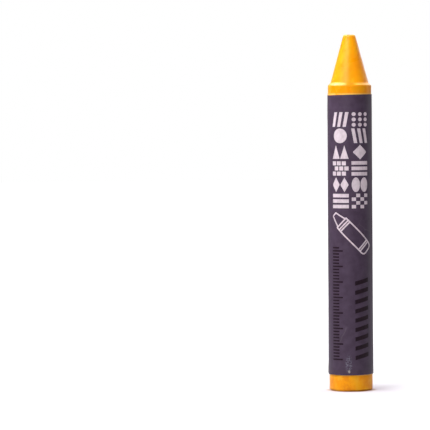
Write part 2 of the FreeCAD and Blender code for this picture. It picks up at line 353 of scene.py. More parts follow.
def make_roll_group():
    """Rolls what lies on the flat sheet round the barrel. It climbs the ramp onto the sheet's first edge,
    flares a little towards the butt, lifts at the free edge, and carries the dents, a crumpled patch and a
    crumpled hem."""
    tree, t, given, result = new_group(
        "Roll",
        "GeometryNodeTree",
        [
            ("Flat", "geometry"),
            ("Outer radius", "float", WRAP_R),
            ("Paper", "float", PAPER),
            ("Ramp end", "float", LAP_START),
            ("Ramp width", "float", RAMP_WIDTH),
            ("Lap rise", "float", LAP_RISE),
            ("Free edge", "float", LAP_END),
            ("Lift", "float", 0.10 * MM),
            ("Bottom", "float", WRAP_BOTTOM),
            ("Top", "float", WRAP_TOP),
            ("Flare", "float", 0.10 * MM),
            ("Dents", "float", 0.07 * MM),
            ("Crumple", "float", 0.10 * MM),
            ("Crumple place", "vector", CRUMPLED_AT),
            ("Seed", "float", 4.0),
        ],
        [("Rolled", "geometry")],
    )
    flat = t.add("GeometryNodeInputPosition").outputs[0]
    along, up, out = t.split(flat)
    on_sheet = t.join(along, up, 0.0)

    ramp_start = t.minus(given["Ramp end"], given["Ramp width"])
    climb = t.times(t.ramp(along, ramp_start, given["Ramp end"]), given["Lap rise"])
    down = t.ramp(up, given["Top"], given["Bottom"], smooth=False)
    flare = t.times(t.calc("POWER", down, 1.5), given["Flare"])
    bearing = t.calc("DIVIDE", along, given["Outer radius"])
    round_x, round_y = t.calc("SINE", bearing), t.times(t.calc("COSINE", bearing), -1.0)
    barrel = t.join(t.times(round_x, WRAP_R), t.times(round_y, WRAP_R), up)
    dents = t.centred(t.noise(barrel, 140.0, detail=2.0, seed=given["Seed"]), given["Dents"])

    freed = t.ramp(along, t.minus(given["Free edge"], 1.6 * MM), given["Free edge"])
    ripple = t.ramp(t.noise(t.join(0.0, up, 0.0), 70.0, detail=1.0, seed=given["Seed"]), 0.42, 0.66)
    corner = t.ramp(up, t.plus(given["Bottom"], 7.0 * MM), given["Bottom"], 0.0, 1.6)
    lift = t.times(t.times(freed, given["Lift"]), t.calc("MAXIMUM", ripple, corner))

    reach = t.vector("MULTIPLY", t.vector("SUBTRACT", on_sheet, given["Crumple place"]), (0.75, 1.0, 0.0))
    patch = t.ramp(t.vector("LENGTH", reach), 6.0 * MM, 1.0 * MM)
    hem = t.ramp(up, t.plus(given["Bottom"], 3.5 * MM), given["Bottom"], 0.0, 0.35)
    folds = t.cells(barrel, 420.0, feature="DISTANCE_TO_EDGE", seed=given["Seed"])["Distance"]
    folds = t.ramp(folds, 0.0, 0.35, 1.0, 0.0)
    crumple = t.times(t.times(folds, given["Crumple"]), t.calc("MAXIMUM", patch, hem))

    radius = t.plus(t.minus(given["Outer radius"], given["Paper"]), out)
    for rise in (climb, flare, dents, lift, crumple):
        radius = t.plus(radius, rise)
    place = t.join(t.times(radius, round_x), t.times(radius, round_y), up)
    kept = t.store(given["Flat"], "sheet_place", flat, "FLOAT_VECTOR", "POINT")
    rolled = t.add("GeometryNodeSetPosition", {"Geometry": kept, "Position": place}).outputs[0]
    t.feed(result["Rolled"], t.shade(rolled))
    return tree


def make_mark_group():
    """Rows and columns of one small printed shape on the flat sheet, as fine grids that can be rolled.
    Round 1 turns the rectangle into an ellipse, Taper 1 into a triangle and Pinch 1 into a diamond. Slant
    and Rise shear it, and Brick shifts every other row by that share of the column pitch."""
    tree, t, given, result = new_group(
        "Mark",
        "GeometryNodeTree",
        [
            ("Place", "vector"),
            ("Width", "float", 1.0 * MM),
            ("Height", "float", 1.0 * MM),
            ("Round", "float", 0.0),
            ("Taper", "float", 0.0),
            ("Pinch", "float", 0.0),
            ("Slant", "float", 0.0),
            ("Rise", "float", 0.0),
            ("Columns", "int", 1),
            ("Rows", "int", 1),
            ("Column pitch", "float", 1.0 * MM),
            ("Row pitch", "float", 1.0 * MM),
            ("Brick", "float", 0.0),
            ("Finest", "float", 0.35 * MM),
        ],
        [("Marks", "geometry")],
    )
    across, upright = (
        t.plus(t.calc("CEIL", t.calc("DIVIDE", given[side], given["Finest"])), 2.0)
        for side in ("Width", "Height")
    )
    grid = t.add(
        "GeometryNodeMeshGrid", {"Size X": 2.0, "Size Y": 2.0, "Vertices X": across, "Vertices Y": upright}
    ).outputs["Mesh"]
    x, y, _ = t.split(t.add("GeometryNodeInputPosition").outputs[0])

    def rounded(a, b):
        """a drawn in, by the share Round, so that the square's edge becomes a circle."""
        chord = t.calc("SQRT", t.minus(1.0, t.times(t.calc("POWER", b, 2.0), 0.5)))
        share = t.times(t.minus(chord, 1.0), given["Round"])
        return t.times(a, t.plus(share, 1.0))

    u, v = rounded(x, y), rounded(y, x)
    taper = t.times(t.times(t.plus(v, 1.0), 0.5), given["Taper"])
    pinch = t.times(t.calc("ABSOLUTE", v), given["Pinch"])
    u = t.times(u, t.calc("MAXIMUM", t.minus(1.0, t.plus(taper, pinch)), 0.02))
    half_width, half_height = (t.times(given[side], 0.5) for side in ("Width", "Height"))
    wide = t.plus(t.times(u, half_width), t.times(v, given["Slant"]))
    high = t.plus(t.times(v, half_height), t.times(u, given["Rise"]))
    shape = t.add("GeometryNodeSetPosition", {"Geometry": grid, "Position": t.join(wide, high, 0.0)})

    count = t.times(given["Columns"], given["Rows"])
    line = t.add("GeometryNodeMeshLine", {"Count": count}, mode="OFFSET").outputs[0]
    index = t.add("GeometryNodeInputIndex").outputs[0]
    row = t.calc("FLOOR", t.calc("DIVIDE", t.plus(index, 0.5), given["Columns"]))
    column = t.minus(index, t.times(row, given["Columns"]))
    middle_column, middle_row = (
        t.times(t.minus(given[many], 1.0), 0.5) for many in ("Columns", "Rows")
    )
    odd = t.calc("MODULO", row, 2.0)
    shift = t.times(t.minus(odd, 0.5), given["Brick"])
    column = t.plus(t.minus(column, middle_column), shift)
    seat_x = t.times(column, given["Column pitch"])
    seat_y = t.times(t.minus(row, middle_row), given["Row pitch"])
    seats = t.add(
        "GeometryNodeSetPosition",
        {"Geometry": line, "Position": t.vector("ADD", t.join(seat_x, seat_y, 0.0), given["Place"])},
    ).outputs[0]
    placed = t.add("GeometryNodeInstanceOnPoints", {"Points": seats, "Instance": shape.outputs[0]})
    real = t.add("GeometryNodeRealizeInstances", {"Geometry": placed.outputs[0]}).outputs[0]
    t.feed(result["Marks"], real)
    return tree


def make_strip_group():
    """One stretch of a turned form: the profile between two distances along it, carried round Z."""
    tree, t, given, result = new_group(
        "Turned strip",
        "GeometryNodeTree",
        [
            ("Profile", "geometry"),
            ("From", "float"),
            ("To", "float"),
            ("Spacing", "float", 0.2 * MM),
            ("Segments", "int", 224),
        ],
        [("Strip", "geometry")],
    )
    reach = t.minus(given["To"], given["From"])
    rows = t.plus(t.calc("CEIL", t.calc("DIVIDE", reach, given["Spacing"])), 1.0)
    grid = t.add(
        "GeometryNodeMeshGrid",
        {"Size X": 1.0, "Size Y": 1.0, "Vertices X": t.plus(given["Segments"], 1.0), "Vertices Y": rows},
    ).outputs["Mesh"]
    x, y, _ = t.split(t.add("GeometryNodeInputPosition").outputs[0])
    distance = t.plus(given["From"], t.times(t.plus(y, 0.5), reach))
    sampled = t.add("GeometryNodeSampleCurve", {"Curves": given["Profile"]}, mode="LENGTH")
    t.feed(next(s for s in sampled.inputs if s.name == "Length" and s.enabled), distance)
    radius, _, height = t.split(sampled.outputs["Position"])
    bearing = t.times(x, 2 * math.pi)
    across, back = t.times(radius, t.calc("SINE", bearing)), t.times(radius, t.calc("COSINE", bearing))
    place = t.join(across, back, height)
    strip = t.add("GeometryNodeSetPosition", {"Geometry": grid, "Position": place}).outputs[0]
    t.feed(result["Strip"], strip)
    return tree


# ---------------------------------------------------------------- geometry trees, one to a piece
def end_tree(t, result, geometry, material):
    """Realize Instances and Set Material, which every piece's tree ends in."""
    real = t.add("GeometryNodeRealizeInstances", {"Geometry": geometry}).outputs[0]
    dressed = t.add("GeometryNodeSetMaterial", {"Geometry": real, "Material": material}).outputs[0]
    t.feed(result["Geometry"], dressed)


def make_wax_tree(strip):
    """The turned wax stick, with the slight unevenness of a casting, pits, and worn rims. Under the paper
    it never stands out past the paste."""
    tree, t, given, result = new_group(
        "Wax stick",
        "GeometryNodeTree",
        [
            ("Geometry", "geometry"),
            ("Material", "material"),
            ("Length", "float", STICK_LENGTH),
            ("Wrapper bottom", "float", WRAP_BOTTOM),
            ("Wrapper top", "float", WRAP_TOP),
            ("Shoulder height", "float", SHOULDER_Z),
            ("Unevenness", "float", 0.10 * MM),
            ("Ripple", "float", 0.035 * MM),
            ("Pit depth", "float", 0.09 * MM),
            ("Rim wear", "float", 0.20 * MM),
            ("Dimple radius", "float", DIMPLE_R),
            ("Dimple depth", "float", DIMPLE_DEPTH),
            ("Seed", "float", 11.0),
        ],
        [("Geometry", "geometry")],
    )
    corners = t.add("GeometryNodeInputRadius").outputs[0]
    fillets = t.add(
        "GeometryNodeFilletCurve", {"Curve": given["Geometry"], "Radius": corners, "Count": 8}, mode="POLY"
    ).outputs[0]
    whole = t.add("GeometryNodeCurveLength", {"Curve": fillets}).outputs[0]
    places = FROM_TIP + [t.minus(whole, near) for near in FROM_BUTT]
    strips = [
        t.group(strip, {"Profile": fillets, "From": low, "To": high, "Spacing": spacing})["Strip"]
        for low, high, spacing in zip(places, places[1:], SPACING)
    ]
    joined = t.gather(*strips)
    turned = t.add("GeometryNodeMergeByDistance", {"Geometry": joined, "Distance": MERGE}).outputs[0]

    place = t.add("GeometryNodeInputPosition").outputs[0]
    normal = t.add("GeometryNodeInputNormal").outputs[0]
    _, _, z = t.split(place)
    seed = given["Seed"]
    slow = t.centred(t.noise(place, 95.0, detail=2.0, seed=seed), given["Unevenness"])
    ripple = t.centred(t.noise(place, 620.0, detail=3.0, seed=seed), given["Ripple"])
    cell = t.cells(place, 330.0, seed=seed)
    hit = t.calc("GREATER_THAN", t.split(cell["Color"])[0], 0.66)
    pits = t.times(t.ramp(cell["Distance"], 0.17, 0.04), hit)
    pits = t.times(pits, t.times(given["Pit depth"], -1.0))
    tip_rim = t.ramp(z, t.minus(given["Length"], 1.4 * MM), given["Length"])
    butt_rim = t.ramp(z, 1.3 * MM, 0.0)
    from_shoulder = t.calc("ABSOLUTE", t.minus(z, given["Shoulder height"]))
    shoulder = t.ramp(from_shoulder, 0.9 * MM, 0.1 * MM, 0.0, 0.55)
    rims = t.calc("MAXIMUM", t.calc("MAXIMUM", tip_rim, butt_rim), shoulder)
    chips = t.centred(t.noise(place, 800.0, detail=2.0, seed=seed), given["Rim wear"])
    bump = t.plus(t.plus(slow, ripple), t.plus(pits, t.times(chips, rims)))
    above = t.calc("LESS_THAN", z, t.plus(given["Wrapper top"], 0.3 * MM))
    below = t.calc("GREATER_THAN", z, t.minus(given["Wrapper bottom"], 0.3 * MM))
    covered = t.times(above, below)
    limit = t.minus(1.0, t.times(covered, 0.97))
    bump = t.calc("MINIMUM", bump, t.times(limit, 1.0 * MM))
    moved = t.vector("ADD", place, t.scaled(normal, bump))
    x, y, z = t.split(moved)
    share = t.calc("DIVIDE", t.vector("LENGTH", t.join(x, y, 0.0)), given["Dimple radius"])
    dish = t.calc("MAXIMUM", t.minus(1.0, t.calc("POWER", share, 2.0)), 0.0)
    at_butt = t.calc("LESS_THAN", z, 1.0 * MM)
    dish = t.times(dish, t.times(given["Dimple depth"], at_butt))
    z = t.plus(t.calc("MINIMUM", t.calc("MAXIMUM", z, 0.0), given["Length"]), dish)
    held = t.join(x, y, z)
    cast = t.add("GeometryNodeSetPosition", {"Geometry": turned, "Position": held}).outputs[0]
    end_tree(t, result, t.shade(cast, math.radians(60)), given["Material"])
    return tree


def make_wrapper_tree(slab, roll):
    """The paper sheet, cut a little out of square, with slightly ragged edges, rolled round the barrel."""
    tree, t, given, result = new_group(
        "Paper wrapper",
        "GeometryNodeTree",
        [
            ("Geometry", "geometry"),
            ("Material", "material"),
            ("Start", "float", SHEET_START),
            ("End", "float", LAP_END),
            ("Bottom", "float", WRAP_BOTTOM),
            ("Top", "float", WRAP_TOP),
            ("Thickness", "float", PAPER),
            ("Top slant", "float", 0.016),
            ("Bottom slant", "float", 0.004),
            ("Raggedness", "float", 0.12 * MM),
            ("Columns", "int", 200),
            ("Rows", "int", 190),
            ("Seed", "float", 2.0),
        ],
        [("Geometry", "geometry")],
    )
    grid = t.add(
        "GeometryNodeMeshGrid",
        {"Size X": 1.0, "Size Y": 1.0, "Vertices X": given["Columns"], "Vertices Y": given["Rows"]},
    ).outputs["Mesh"]
    x, y, _ = t.split(t.add("GeometryNodeInputPosition").outputs[0])
    along = t.ramp(x, -0.5, 0.5, given["Start"], given["End"], smooth=False)
    edge = t.times(t.calc("ABSOLUTE", y), 2.0)
    ragged = t.centred(
        t.noise(t.join(along, y, 0.0), 240.0, detail=4.0, roughness=0.6, seed=given["Seed"]),
        given["Raggedness"],
    )
    bottom = t.plus(given["Bottom"], t.times(along, given["Bottom slant"]))
    top = t.plus(given["Top"], t.times(along, given["Top slant"]))
    up = t.ramp(y, -0.5, 0.5, bottom, top, smooth=False)
    up = t.plus(up, t.times(ragged, t.ramp(edge, 0.97, 1.0)))
    sheet = t.add("GeometryNodeSetPosition", {"Geometry": grid, "Position": t.join(along, up, 0.0)})
    from_hem = t.times(t.times(t.minus(1.0, edge), t.minus(top, bottom)), 0.5)
    from_side = t.calc("MINIMUM", t.minus(given["End"], along), t.minus(along, given["Start"]))
    reach = t.calc("MINIMUM", from_hem, from_side)
    marked = t.store(sheet.outputs[0], "from_edge", reach, "FLOAT", "POINT")
    thick = t.group(slab, {"Sheet": marked, "Base": 0.0, "Thickness": given["Thickness"]})["Slab"]
    rolled = t.group(roll, {"Flat": thick})["Rolled"]
    end_tree(t, result, rolled, given["Material"])
    return tree


def make_print_tree(name, marks, mark, slab, roll):
    """A tree that prints a list of marks. Each is a dictionary of the Mark group's inputs."""
    tree, t, given, result = new_group(
        name,
        "GeometryNodeTree",
        [
            ("Geometry", "geometry"),
            ("Material", "material"),
            ("Paper", "float", PAPER),
            ("Ink", "float", INK),
        ],
        [("Geometry", "geometry")],
    )
    printed = t.gather(*(t.group(mark, values)["Marks"] for values in marks))
    inked = t.group(slab, {"Sheet": printed, "Base": given["Paper"], "Thickness": given["Ink"]})["Slab"]
    rolled = t.group(roll, {"Flat": inked})["Rolled"]
    end_tree(t, result, rolled, given["Material"])
    return tree


def make_drawing_tree(slab, roll):
    """Turns drawn lines on the flat sheet into printed strokes of one width."""
    tree, t, given, result = new_group(
        "Line drawing",
        "GeometryNodeTree",
        [
            ("Geometry", "geometry"),
            ("Material", "material"),
            ("Stroke", "float", 0.46 * MM),
            ("Step", "float", 0.30 * MM),
            ("Paper", "float", PAPER),
            ("Ink", "float", INK),
        ],
        [("Geometry", "geometry")],
    )
    lines = t.add("GeometryNodeResampleCurve", {"Curve": given["Geometry"]}, mode="LENGTH")
    t.feed(next(s for s in lines.inputs if s.name == "Length" and s.enabled), given["Step"])
    half = t.times(given["Stroke"], 0.5)
    ends = {"Start": t.join(t.times(half, -1.0), 0.0, 0.0), "End": t.join(half, 0.0, 0.0)}
    bar = t.add("GeometryNodeCurvePrimitiveLine", ends)
    flat = t.add("GeometryNodeSetCurveNormal", {"Curve": lines.outputs[0]}, mode="Z_UP").outputs[0]
    ribbon = t.add("GeometryNodeCurveToMesh", {"Curve": flat, "Profile Curve": bar.outputs[0]}).outputs[0]
    inked = t.group(slab, {"Sheet": ribbon, "Base": given["Paper"], "Thickness": given["Ink"]})["Slab"]
    rolled = t.group(roll, {"Flat": inked})["Rolled"]
    end_tree(t, result, rolled, given["Material"])
    return tree


# ---------------------------------------------------------------- shader groups, shared by materials
def make_paper_grain_group():
    """Short fibres and soft mottling of paper, from places on the flat sheet."""
    tree, t, given, result = new_group(
        "Paper grain",
        "ShaderNodeTree",
        [("Place", "vector"), ("Fibre scale", "float", 1800.0), ("Mottle scale", "float", 420.0)],
        [("Height", "float"), ("Mottle", "float")],
    )
    drawn_out = t.vector("MULTIPLY", given["Place"], (1.0, 0.45, 1.0))
    fibres = t.noise(drawn_out, given["Fibre scale"], detail=4.0)
    mottle = t.noise(given["Place"], given["Mottle scale"], detail=3.0, roughness=0.6, seed=3.0)
    t.feed(result["Height"], t.plus(t.times(fibres, 0.6), t.times(mottle, 0.4)))
    t.feed(result["Mottle"], mottle)
    return tree


def make_handling_group():
    """Marks of handling: a few fine scratches, and smudges where fingers have polished the surface."""
    tree, t, given, result = new_group(
        "Handling wear",
        "ShaderNodeTree",
        [
            ("Place", "vector"),
            ("Scratch scale", "float", 190.0),
            ("Scratch width", "float", 0.018),
            ("Smudge scale", "float", 120.0),
            ("Seed", "float", 1.0),
        ],
        [("Scratches", "float"), ("Smudges", "float")],
    )
    wander = t.noise(given["Place"], 260.0, detail=2.0, seed=given["Seed"])
    bent = t.vector("ADD", given["Place"], t.scaled((1.0, 1.0, 1.0), t.times(wander, 2.2 * MM)))
    lines = t.cells(t.vector("MULTIPLY", bent, (1.0, 0.6, 1.0)), given["Scratch scale"],
                    feature="DISTANCE_TO_EDGE", seed=given["Seed"])["Distance"]
    where = t.ramp(t.noise(given["Place"], 90.0, detail=2.0, seed=given["Seed"]), 0.56, 0.68)
    t.feed(result["Scratches"], t.times(t.ramp(lines, given["Scratch width"], 0.0), where))
    smudges = t.noise(given["Place"], given["Smudge scale"], seed=given["Seed"])
    t.feed(result["Smudges"], t.ramp(smudges, 0.4, 0.65))
    return tree


# ---------------------------------------------------------------- materials
def new_material(name):
    """A material with an empty tree but for its Principled BSDF."""
    material = bpy.data.materials.new(name)
    material.use_nodes = True
    material.node_tree.nodes.clear()
    t = Tree(material.node_tree)
    shader = t.add("ShaderNodeBsdfPrincipled")
    t.tree.links.new(shader.outputs[0], t.add("ShaderNodeOutputMaterial").inputs[0])
    return material, t, shader


def bump(t, shader, height, strength, distance):
    node = t.add("ShaderNodeBump", {"Height": height, "Strength": strength, "Distance": distance})
    t.feed(shader.inputs["Normal"], node.outputs[0])


def object_place(t):
    return t.add("ShaderNodeTexCoord").outputs["Object"]


def attribute(t, name, output):
    return t.add("ShaderNodeAttribute", attribute_name=name).outputs[output]


def make_wax(handling):
    """Yellow-orange wax: dense pigment with a soft glow, paler bloom in patches, a dull satin skin. It is
    marbled below the cone and rubbed pale at its tip and beside the wrapper's edges. Its shoulder carries a
    painted highlight, broken in the middle by a band of painted shade, and its foot carries painted shade
    where it stands, besides a few flecks of dirt."""
    material, t, shader = new_material("yellow wax")
    place = object_place(t)
    x, _, z = t.split(place)
    wear = t.group(handling, {"Place": place, "Scratch scale": 300.0, "Seed": 5.0})
    cloudy = t.noise(place, 170.0, detail=4.0, roughness=0.55, seed=7.0)
    drawn = t.noise(t.vector("MULTIPLY", place, (1.0, 1.0, 0.25)), 520.0, detail=3.0, seed=9.0)
    patchy = t.noise(place, 420.0, detail=3.0, seed=17.0)
    base = t.mix(t.ramp(cloudy, 0.35, 0.68), WAX_DEEP, WAX_LIGHT)
    base = t.mix(t.times(t.ramp(drawn, 0.5, 0.78), 0.45), base, WAX_BLOOM)
    stretched = t.vector("MULTIPLY", place, (1.0, 1.0, 0.6))
    marbled = t.noise(stretched, 330.0, detail=6.0, roughness=0.7, seed=31.0)
    handled = t.ramp(z, STICK_LENGTH - CONE_LENGTH, SHOULDER_Z - 6.0 * MM, 0.22, 1.0)
    base = t.mix(t.times(t.ramp(marbled, 0.50, 0.40, 0.0, 0.7), handled), base, WAX_MARBLE_AND_SHADE)
    base = t.mix(t.times(t.ramp(marbled, 0.52, 0.66, 0.0, 0.5), handled), base, WAX_BLOOM)

    def band(middle, reach):
        """A soft band round the stick at one height."""
        return t.ramp(t.calc("ABSOLUTE", t.minus(z, middle)), reach, 0.0)

    bevel = band(SHOULDER_Z + 0.5 * SHOULDER_HEIGHT, 0.75 * MM)
    # painted shade: a darker band in the middle of the shoulder's bevel, where no lamp from overhead lights
    # it
    shade_gap = t.ramp(t.calc("ABSOLUTE", t.plus(x, 0.2 * MM)), 2.1 * MM, 0.7 * MM)
    base = t.mix(t.times(bevel, shade_gap), base, WAX_MARBLE_AND_SHADE)
    # painted highlight: the shoulder's bevel is mixed pale cream, most on the left where the lamps fall and
    # not in its shaded middle
    highlight_side = t.times(t.ramp(x, 0.5 * MM, -2.5 * MM, 0.25, 0.75), t.minus(1.0, shade_gap))
    shoulder = t.times(bevel, highlight_side)
    tip_rim = t.times(band(STICK_LENGTH, 0.9 * MM), 0.35)
    beside_paper = t.calc("MAXIMUM", band(WRAP_TOP + 0.15 * MM, 0.55 * MM), band(WRAP_BOTTOM, 0.45 * MM))
    # rubbed pale wear at the tip and beside the paper, together with the shoulder's painted highlight
    rubbed = t.calc("MAXIMUM", t.calc("MAXIMUM", shoulder, tip_rim), t.times(beside_paper, 0.5))
    rubbed = t.times(rubbed, t.ramp(patchy, 0.36, 0.56, 0.15, 1.0))
    base = t.mix(rubbed, base, WAX_RUBBED_AND_HIGHLIGHT)
    flecks = t.ramp(t.noise(place, 1300.0, detail=2.0, seed=21.0), 0.7, 0.78)
    # painted shade: the foot darkened within 0.85 mm of the floor, more to the right away from the lamps,
    # and made rougher there
    foot_shade = t.times(t.ramp(z, 0.85 * MM, 0.35 * MM), t.ramp(x, -4.0 * MM, 0.5 * MM, 0.25, 0.66))
    foot_shade = t.times(foot_shade, t.ramp(patchy, 0.3, 0.5, 0.7, 1.0))
    # a few dark flecks of dirt, together with the painted shade at the foot
    grime_and_shade = t.calc("MAXIMUM", t.times(flecks, 0.3), foot_shade)
    base = t.mix(grime_and_shade, base, WAX_GRIME_AND_SHADE)
    base = t.mix(t.times(wear["Scratches"], 0.35), base, WAX_BLOOM)
    t.feed(shader.inputs["Base Color"], base)
    rough = t.plus(t.times(wear["Smudges"], -0.06), t.ramp(cloudy, 0.3, 0.7, 0.30, 0.38))
    t.feed(shader.inputs["Roughness"], t.plus(rough, t.times(foot_shade, 0.3)))
    fine = t.noise(place, 2600.0, detail=3.0, seed=2.0)
    relief = t.plus(t.times(fine, 0.5), t.times(drawn, 0.7))
    relief = t.minus(relief, t.times(wear["Scratches"], 0.6))
    bump(t, shader, relief, 0.30, 0.05 * MM)
    shader.inputs["Specular IOR Level"].default_value = 0.22
    shader.inputs["Subsurface Weight"].default_value = 0.12
    shader.inputs["Subsurface Radius"].default_value = (1.0, 0.38, 0.06)
    shader.inputs["Subsurface Scale"].default_value = 1.0 * MM
    return material


def make_wrapper_paper(grain, handling):
    """Dark satin paper, worn pale along its edges and flecked, with a torn nick and a patch of pale creases
    near the butt. Its cut edges are nearly the raw stock."""
    material, t, shader = new_material("wrapper paper")
    place = attribute(t, "sheet_place", "Vector")
    fibre = t.group(grain, {"Place": place})
    wear = t.group(handling, {"Place": place})
    base = t.mix(t.ramp(fibre["Mottle"], 0.3, 0.7), PAPER_DARK, PAPER_LIGHT)
    rubbed = t.noise(place, 700.0, detail=4.0, roughness=0.65, seed=6.0)
    near = t.ramp(attribute(t, "from_edge", "Fac"), 0.45 * MM, 0.0)
    worn = t.times(near, t.ramp(rubbed, 0.5, 0.62))
    flecks = t.ramp(t.noise(place, 1500.0, detail=2.0, seed=14.0), 0.735, 0.78)
    pale = t.calc("MAXIMUM", t.times(worn, 0.5), t.times(flecks, 0.3))
    pale = t.calc("MAXIMUM", pale, t.times(wear["Scratches"], 0.06))
    torn = t.vector("MULTIPLY", t.vector("SUBTRACT", place, NICK_AT), (1.0, 0.8, 0.0))
    torn = t.plus(t.vector("LENGTH", torn), t.centred(rubbed, 0.9 * MM))
    pale = t.calc("MAXIMUM", pale, t.ramp(torn, 0.50 * MM, 0.26 * MM, 0.0, 0.60))
    pale = t.calc("MAXIMUM", pale, t.times(attribute(t, "cut_face", "Fac"), 0.75))
    folds = t.cells(place, 1500.0, feature="DISTANCE_TO_EDGE", seed=8.0)["Distance"]
    reach = t.vector("MULTIPLY", t.vector("SUBTRACT", place, CRUMPLED_AT), (1.0, 0.42, 0.0))
    in_patch = t.ramp(t.vector("LENGTH", reach), 1.5 * MM, 0.5 * MM)
    creased = t.times(in_patch, t.ramp(folds, 0.16, 0.02))
    base = t.mix(t.times(creased, t.ramp(rubbed, 0.40, 0.56, 0.2, 1.0)), base, PAPER_CREASED)
    base = t.mix(pale, base, PAPER_STOCK)
    t.feed(shader.inputs["Base Color"], base)
    rough = t.plus(t.ramp(fibre["Mottle"], 0.3, 0.7, 0.40, 0.47), t.times(pale, 0.3))
    rough = t.minus(rough, t.times(wear["Smudges"], 0.05))
    t.feed(shader.inputs["Roughness"], rough)
    relief = t.minus(fibre["Height"], t.times(wear["Scratches"], 0.5))
    bump(t, shader, relief, 0.30, 0.04 * MM)
    shader.inputs["Specular IOR Level"].default_value = 0.30
    return material


def make_ink(name, thin, full, roughness, grain, handling):
    """Printed ink: thinner where the paper's fibres stand up, and scratched with the paper under it."""
    material, t, shader = new_material(name)
    place = attribute(t, "sheet_place", "Vector")
    fibre = t.group(grain, {"Place": place})
    wear = t.group(handling, {"Place": place})
    base = t.mix(t.ramp(fibre["Height"], 0.36, 0.58), thin, full)
    base = t.mix(t.times(wear["Scratches"], 0.3), base, PAPER_LIGHT)
    t.feed(shader.inputs["Base Color"], base)
    rough = t.ramp(fibre["Mottle"], 0.3, 0.7, roughness - 0.04, roughness + 0.04)
    t.feed(shader.inputs["Roughness"], rough)
    bump(t, shader, fibre["Height"], 0.30, 0.04 * MM)
    shader.inputs["Specular IOR Level"].default_value = 0.20
    return material


def make_paste():
    """Dried flour paste: cloudy, slightly yellow, and glazed where it has run thick."""
    material, t, shader = new_material("dried paste")
    place = object_place(t)
    cloudy = t.noise(place, 500.0, detail=4.0, seed=1.0)
    t.feed(shader.inputs["Base Color"], t.mix(t.ramp(cloudy, 0.35, 0.65), PASTE_DULL, PASTE_CLEAR))
    t.feed(shader.inputs["Roughness"], t.ramp(cloudy, 0.3, 0.7, 0.35, 0.7))
    bump(t, shader, cloudy, 0.4, 0.05 * MM)
    return material


def make_floor():
    """A matt board that the lamps leave grey, lit through from below so that it looks white. Close to the
    crayon the glow is lowered to a painted lilac shadow, and where it touches to a painted brown contact
    shadow."""
    material, t, shader = new_material("studio board")
    place = object_place(t)
    soft = t.ramp(t.noise(place, 3.0, detail=2.0), 0.3, 0.7)
    t.feed(shader.inputs["Base Color"], t.mix(soft, BOARD_DARK, BOARD_LIGHT))
    t.feed(shader.inputs["Roughness"], t.ramp(soft, 0.0, 1.0, 0.75, 0.85))
    from_crayon = t.vector("LENGTH", place)
    # painted shadow: the glow is lowered to lilac within 24 mm of the crayon and to brown at its contact
    glow = t.mix(t.ramp(from_crayon, 7.0 * MM, 24.0 * MM), GLOW_SHADOW_CLOSE, GLOW_NEAR)
    glow = t.mix(t.ramp(from_crayon, 7.2 * MM, 8.6 * MM), GLOW_CONTACT_SHADOW, glow)
    glow = t.mix(t.ramp(from_crayon, 0.03, 0.12), glow, GLOW_PLAIN)
    glow = t.mix(t.ramp(from_crayon, 0.10, 0.35), glow, GLOW_FAR)
    t.feed(shader.inputs["Emission Color"], glow)
    t.feed(shader.inputs["Emission Strength"], t.add("ShaderNodeLightPath").outputs["Is Camera Ray"])
    return material


# ---------------------------------------------------------------- making the pieces
def grow(name, source, tree, material):
    """The plain mesh that a tree grows from its source, which is then taken away."""
    socket = next(item for item in tree.interface.items_tree if item.name == "Material")
    modifier = source.modifiers.new(name, "NODES")
    modifier.node_group = tree
    modifier[socket.identifier] = material
    bpy.context.view_layer.update()
    graph = bpy.context.evaluated_depsgraph_get()
    mesh = bpy.data.meshes.new_from_object(source.evaluated_get(graph), depsgraph=graph)
    mesh.name = name
    source.modifiers.remove(modifier)
    bpy.data.objects.remove(source)
    if not mesh.materials:
        mesh.materials.append(material)
    piece = bpy.data.objects.new(name, mesh)
    bpy.context.scene.collection.objects.link(piece)
    return piece


def blank_source():
    """An object with an empty mesh, for a tree that starts from nothing."""
    source = bpy.data.objects.new("blank", bpy.data.meshes.new("blank"))
    bpy.context.scene.collection.objects.link(source)
    return source


def line_source(lines):
    """An object with a polyline for each list of corners."""
    curve = bpy.data.curves.new("lines", "CURVE")
    curve.dimensions = "3D"
    for corners in lines:
        spline = curve.splines.new("POLY")
        spline.points.add(len(corners) - 1)
        for point, (place, radius) in zip(spline.points, corners):
            point.co = (*place, 1.0)
            point.radius = radius
    source = bpy.data.objects.new("lines", curve)
    bpy.context.scene.collection.objects.link(source)
    return source


def make_wax_stick(tree, material):
    """The wax's half section from the middle of the tip to the middle of the butt, turned by its tree."""
    foot = STICK_LENGTH - CONE_LENGTH
    corners = [
        ((0, 0, STICK_LENGTH), 0),
        ((TIP_R, 0, STICK_LENGTH), TIP_ROUND),
        ((WAX_R - SHOULDER_STEP, 0, foot), FOOT_ROUND),
        ((WAX_R, 0, foot - SHOULDER_HEIGHT), SHOULDER_ROUND),
        ((WAX_R, 0, 0), BUTT_ROUND),
        ((0, 0, 0), 0),
    ]
    return grow("wax_body", line_source([corners]), tree, material)


